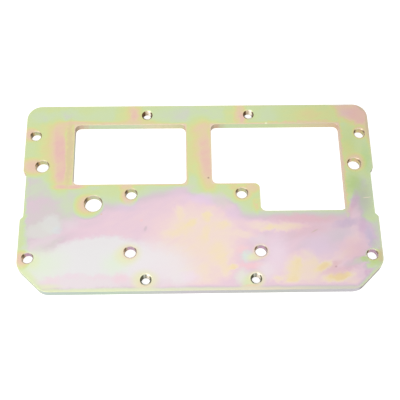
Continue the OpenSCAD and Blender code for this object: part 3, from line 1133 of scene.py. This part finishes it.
def hole_wall_painted_shading(tree, place, x, depth, to_right, far_side, low_half):
    """The colours of a plain and a tapped hole's wall, painted light and shade by the way that
    they face.
    """
    stripes = tree.noise(tree.vector("MULTIPLY", place, (1, 1, 0.15)), 0.6, 2.0)
    spread = tree.centred(stripes, 0.8)
    turn = tree.math("MULTIPLY_ADD", spread, 0.6, to_right)

    # Plain, painted reflection and shade: a light far side in the film's colours, painted shade
    # in olive on the left, a dark painted shadow line at the upper left and a brown one at the
    # upper right
    film = tree.blend(tree.ease(x, 50, 90), 0.44, 0.26)
    film = tree.math("ADD", tree.blend(low_half, film, 0.92), spread)
    light = colour_along(tree, film, film_colours)
    shade = tree.mix(low_half, paint(238, 226, 224), paint(218, 198, 216))
    light = tree.mix(1.0, light, shade, "MULTIPLY")
    olive = tree.mix(tree.ease(stripes, 0.4, 0.65), paint(166, 140, 78), paint(204, 154, 98))
    plain = tree.mix(tree.ease(turn, 0.3, 0.75), light, olive)
    left_shadow_line = tree.ease(tree.math("ABSOLUTE", tree.math("SUBTRACT", turn, 0.82)), 0.24, 0.02)
    left_shadow_line = tree.math("MULTIPLY", left_shadow_line, far_side)
    plain = tree.mix(left_shadow_line, plain, paint(76, 58, 28))
    right_shadow_line = tree.math("MULTIPLY", tree.ease(turn, -0.5, -0.8), tree.ease(depth, 1.8, 0.9))
    plain = tree.mix(right_shadow_line, plain, paint(120, 92, 60))

    # Tapped: pale where a reflection is painted, painted shade on the left, with a dark painted
    # shadow line in the right side of the mouth, and one more dark painted stripe at the far side
    # of the lower pair
    left_stripe = tree.ease(turn, 0.3, 0.6)
    in_mouth = tree.ease(depth, 1.4, 0.7)
    right_stripe = tree.math("MULTIPLY", tree.ease(to_right, -0.6, -0.8), in_mouth)
    far_stripe = tree.ease(tree.math("ABSOLUTE", to_right), 0.3, 0.05, 0.0, 0.6)
    far_stripe = tree.math("MULTIPLY", far_stripe, low_half)
    far_stripe = tree.math("MULTIPLY", far_stripe, far_side)
    stripe = tree.math("MAXIMUM", tree.math("MAXIMUM", left_stripe, right_stripe), far_stripe)
    light = tree.mix(low_half, paint(212, 190, 162), paint(206, 208, 194))
    light = tree.mix(tree.ease(to_right, 0.3, -0.4), light, paint(234, 224, 206))
    dark = tree.mix(low_half, paint(96, 70, 42), paint(84, 84, 62))
    return plain, tree.mix(stripe, light, dark)


def hole_rim_painted_light(tree, colour, depth, to_right, far_side, low_half, is_plain):
    """A colour with the plain holes' rims painted on it: painted shade, dark at the upper left
    and brown at the upper right, and a cream painted highlight elsewhere."""
    rim = tree.math("MULTIPLY", tree.ease(depth, 0.03, 0.12), tree.ease(depth, 0.62, 0.5))
    rim = tree.math("MULTIPLY", rim, is_plain)
    shade_upper_left = tree.math("MULTIPLY", tree.ease(to_right, 0.5, 0.8), far_side)
    shade_upper_right = tree.math("MULTIPLY", tree.ease(to_right, -0.6, -0.85), far_side)
    shown = tree.mix(low_half, paint(240, 222, 200), paint(241, 236, 214))
    shown = tree.mix(shade_upper_left, shown, paint(104, 86, 46))
    shown = tree.mix(tree.math("MULTIPLY", shade_upper_right, 0.7), shown, paint(130, 106, 80))
    return tree.mix(tree.math("MULTIPLY", rim, 0.65), colour, shown)


def plated_steel():
    """Zinc plate with its iridescent film: the faces' films, plainer walls and dark hole walls
    with painted light and shade, a pale line of wear and painted highlight at the rims and a fine
    rolled grain."""
    material = bpy.data.materials.new("plated_steel")
    tree = fresh_tree(material)
    coords = tree.add("ShaderNodeTexCoord").outputs
    place = tree.vector("MULTIPLY", coords["Object"], (1 / MM, 1 / MM, 1 / MM))
    flat = tree.vector("MULTIPLY", place, (1, 1, 0))
    x, y, z = (tree.part(place, axis) for axis in range(3))

    # How deep a point lies below the nearer face, and the way that its wall faces
    middle = plate_t / 2
    from_middle = tree.math("ABSOLUTE", tree.math("SUBTRACT", z, middle))
    depth = tree.math("SUBTRACT", middle, from_middle)
    is_wall = tree.ease(depth, 0.12, 0.3)
    side = tree.add("ShaderNodeAttribute", attribute_name="side").outputs["Vector"]
    to_right, to_far, kind = (tree.part(side, axis) for axis in range(3))
    is_hole = tree.math("MINIMUM", kind, 1.0)
    is_plain = tree.math("COMPARE", kind, 1.0, 0.2)
    is_tapped = tree.math("GREATER_THAN", kind, 1.5)
    far_side = tree.ease(to_far, 0.1, -0.3)
    low_half = tree.ease(y, 10, -30)

    colour = face_colour(tree, flat, x, z)
    colour = tree.mix(is_wall, colour, wall_colour_with_painted_shade(tree, place, x, y, to_right))
    plain, tapped = hole_wall_painted_shading(tree, place, x, depth, to_right, far_side, low_half)
    hole_colour = tree.mix(is_tapped, plain, tapped)
    colour = tree.mix(tree.math("MULTIPLY", is_hole, is_wall), colour, hole_colour)
    colour = hole_rim_painted_light(tree, colour, depth, to_right, far_side, low_half, is_plain)

    grain = tree.noise(tree.vector("MULTIPLY", place, (0.3, 4, 4)), 1.2)
    rough = tree.math("MULTIPLY_ADD", grain, rough_range, least_rough)
    relief = {"Strength": grain_strength, "Distance": grain_depth, "Height": grain}
    bump = tree.add("ShaderNodeBump", relief).outputs[0]
    finish = {"Base Color": colour, "Metallic": metal_share, "Roughness": rough, "Normal": bump}
    bsdf = tree.add("ShaderNodeBsdfPrincipled", finish)
    out = tree.add("ShaderNodeOutputMaterial")
    tree.link(bsdf.outputs[0], out.inputs[0])
    return material


points, face_groups, sides = plate_surface()
plate = make_piece("plated_plate", points, face_groups, 2)
side = plate.data.attributes.new("side", "FLOAT_VECTOR", "POINT")
side.data.foreach_set("vector", sides.ravel())
plate.data.materials.append(plated_steel())
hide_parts("barrier_plate")
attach(plate, "root")


# Stage, light and camera, in metres and watts

floor_half = 2.0
floor_drop = 0.0002
floor_glow = 0.85
sky_strength = 0.7
lamp_size = 0.6
key_power = 2.22
fill_power = 0.6


def seen_directly(tree):
    """1 where a camera, a gloss or a glass sees the surface, and 0 where it only lights."""
    rays = tree.add("ShaderNodeLightPath").outputs
    seen = tree.math("MAXIMUM", rays["Is Camera Ray"], rays["Is Glossy Ray"])
    return tree.math("MAXIMUM", seen, rays["Is Transmission Ray"])


def white_floor():
    """A pale floor that a camera or a gloss sees as white and that keeps a soft shadow."""
    material = bpy.data.materials.new("pale_floor")
    tree = fresh_tree(material)
    strength = tree.math("MULTIPLY", seen_directly(tree), floor_glow)
    paint_coat = tree.add("ShaderNodeBsdfDiffuse", {"Color": (0.5, 0.5, 0.5, 1)})
    glow = tree.add("ShaderNodeEmission", {"Strength": strength})
    both = tree.add("ShaderNodeAddShader", {0: paint_coat.outputs[0], 1: glow.outputs[0]})
    clear = tree.add("ShaderNodeBsdfTransparent")
    back = tree.add("ShaderNodeNewGeometry").outputs["Backfacing"]
    shown = tree.add("ShaderNodeMixShader", {0: back, 1: both.outputs[0], 2: clear.outputs[0]})
    out = tree.add("ShaderNodeOutputMaterial")
    tree.link(shown.outputs[0], out.inputs[0])
    return material


floor_mesh = bpy.data.meshes.new("floor")
floor_corners = [
    (x * floor_half, y * floor_half, -floor_drop) for x, y in ((-1, -1), (1, -1), (1, 1), (-1, 1))
]
floor_mesh.from_pydata(floor_corners, [], [(0, 1, 2, 3)])
floor = bpy.data.objects.new("floor", floor_mesh)
floor_mesh.materials.append(white_floor())
bpy.context.scene.collection.objects.link(floor)

world = bpy.data.worlds.new("studio")
bpy.context.scene.world = world
sky = fresh_tree(world)
strength = sky.blend(seen_directly(sky), sky_strength, 1.0)
background = sky.add("ShaderNodeBackground", {"Color": (1, 1, 1, 1), "Strength": strength})
sky_out = sky.add("ShaderNodeOutputWorld")
sky.link(background.outputs[0], sky_out.inputs[0])


def soft_lamp(name, place, power):
    """A square area lamp at a place in metres, turned to the middle of the plate."""
    data = bpy.data.lights.new(name, "AREA")
    data.size = lamp_size
    data.energy = power
    lamp = bpy.data.objects.new(name, data)
    lamp.location = place
    lamp.rotation_euler = (-Vector(place)).to_track_quat("-Z", "Y").to_euler()
    bpy.context.scene.collection.objects.link(lamp)


soft_lamp("key_lamp", (-0.45, -0.35, 0.75), key_power)
soft_lamp("fill_lamp", (0.55, -0.1, 0.7), fill_power)

camera_place = Vector((-0.010349, -0.244668, 0.482766))
camera_aim = Vector((0.00029, -0.004412, 0.004883))
camera_roll = math.radians(1.678)
camera_lens = 82.387

camera_data = bpy.data.cameras.new("camera")
camera_data.lens = camera_lens
camera_data.sensor_width = 36
camera = bpy.data.objects.new("camera", camera_data)
turn = (camera_aim - camera_place).to_track_quat("-Z", "Y").to_matrix()
turn = turn @ Matrix.Rotation(camera_roll, 3, "Z")
camera.matrix_world = Matrix.Translation(camera_place) @ turn.to_4x4()
bpy.context.scene.collection.objects.link(camera)
bpy.context.scene.camera = camera
bpy.context.scene.view_settings.view_transform = "Standard"
